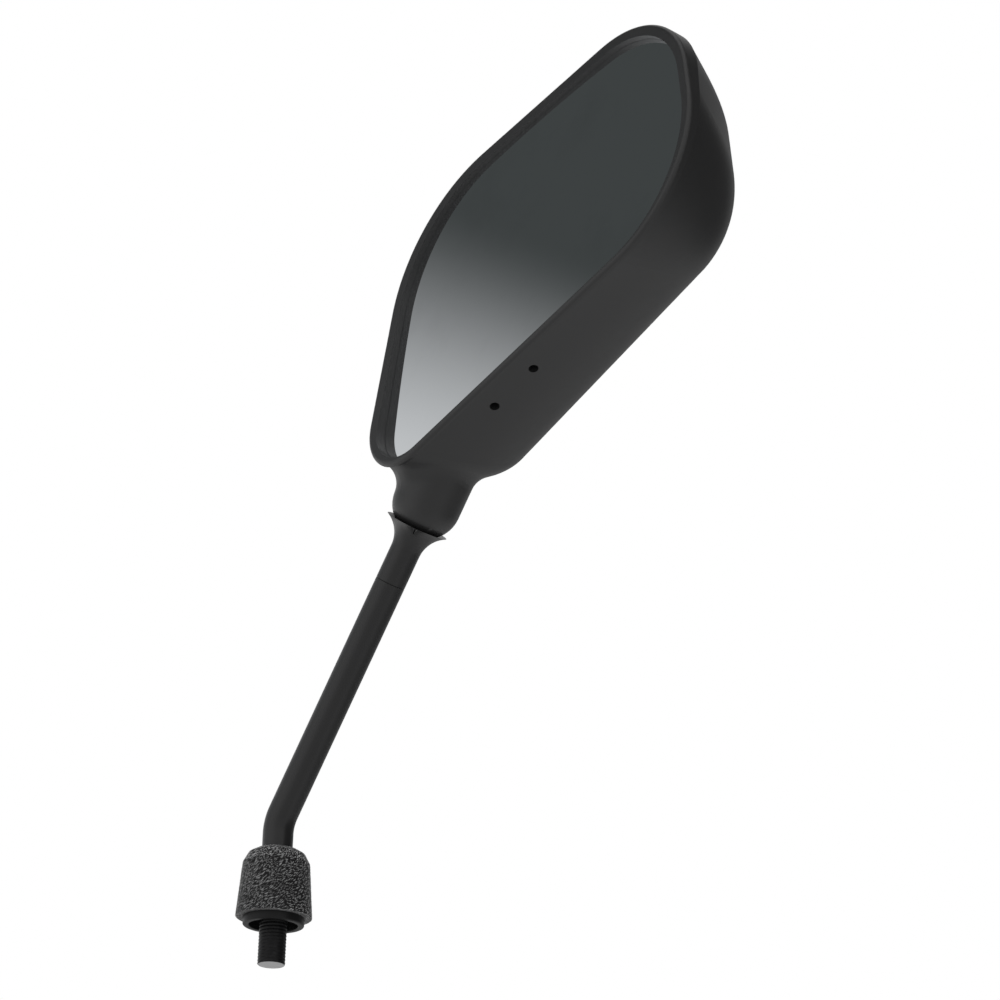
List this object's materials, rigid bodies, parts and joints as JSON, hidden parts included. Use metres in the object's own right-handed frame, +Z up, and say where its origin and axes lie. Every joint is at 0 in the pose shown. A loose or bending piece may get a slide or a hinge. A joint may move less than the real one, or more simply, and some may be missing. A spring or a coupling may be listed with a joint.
{
  "type": "motorcycle mirror",
  "caption": "Right-hand motorcycle mirror: rounded black housing with a recessed convex glass on a ball joint, a bent stem, a rubber boot and a threaded stud.",
  "frame": {"origin": "on the stud's axis at the lower face of the boot ring", "axes": "+Z up along the stud, +X the way that the stem leans, -Y the way that the glass looks"},
  "size_m": [0.2182, 0.0621, 0.323],
  "materials": {
    "stud_black": "black zinc",
    "stem_paint": "satin black",
    "joint_steel": "zinc plated",
    "spring_steel": "oiled",
    "boot_rubber": "leather grain",
    "ring_plastic": "smooth",
    "seat_plastic": "moulded",
    "housing_plastic": "fine moulded grain",
    "glass_mirror": "silvered",
    "pad_plastic": "moulded"
  },
  "bodies": {
    "stem": {"mounting_stud": "stud_black", "stem_tube": "stem_paint", "ball_stud": "joint_steel", "joint_collar": "stem_paint"},
    "boot": {"rubber_boot": "boot_rubber", "boot_ring": "ring_plastic"},
    "washer": {"lock_washer": "joint_steel"},
    "nut": {"lock_nut": "joint_steel"},
    "lower_seat": {"lower_ball_seat": "seat_plastic"},
    "upper_seat": {"upper_ball_seat": "seat_plastic"},
    "head": {"housing": "housing_plastic", "mirror_glass": "glass_mirror", "backing_pad": "pad_plastic", "pressure_spring": "spring_steel", "spring_plate": "joint_steel", "retaining_ring": "spring_steel"}
  },
  "joints": [
    {"name": "boot_slide", "type": "slide", "parent": "stem", "child": "boot", "axis": [0, 0, 1], "range_m": [0, 0.004]},
    {"name": "nut_travel", "type": "slide", "parent": "stem", "child": "washer", "axis": [0, 0, 1], "range_m": [-0.0046, 0.0051]},
    {"name": "nut_turn", "type": "hinge", "parent": "washer", "child": "nut", "pos_m": [0, 0, 0], "axis": [0, 0, 1], "range_deg": [-1296, 1440]},
    {"name": "head_pitch", "type": "hinge", "parent": "stem", "child": "lower_seat", "pos_m": [0.06462, 0, 0.1466], "axis": [0.859, 0, -0.512], "range_deg": [-15, 15]},
    {"name": "head_roll", "type": "hinge", "parent": "lower_seat", "child": "upper_seat", "pos_m": [0.06462, 0, 0.1466], "axis": [0, 1, 0], "range_deg": [-15, 15]},
    {"name": "head_swivel", "type": "hinge", "parent": "upper_seat", "child": "head", "pos_m": [0.06462, 0, 0.1466], "axis": [0.512, 0, 0.859], "continuous": true}
  ],
  "couplings": [
    {"joint": "nut_travel", "follows": "nut_turn", "m_per_rad": 0.00019894}
  ]
}
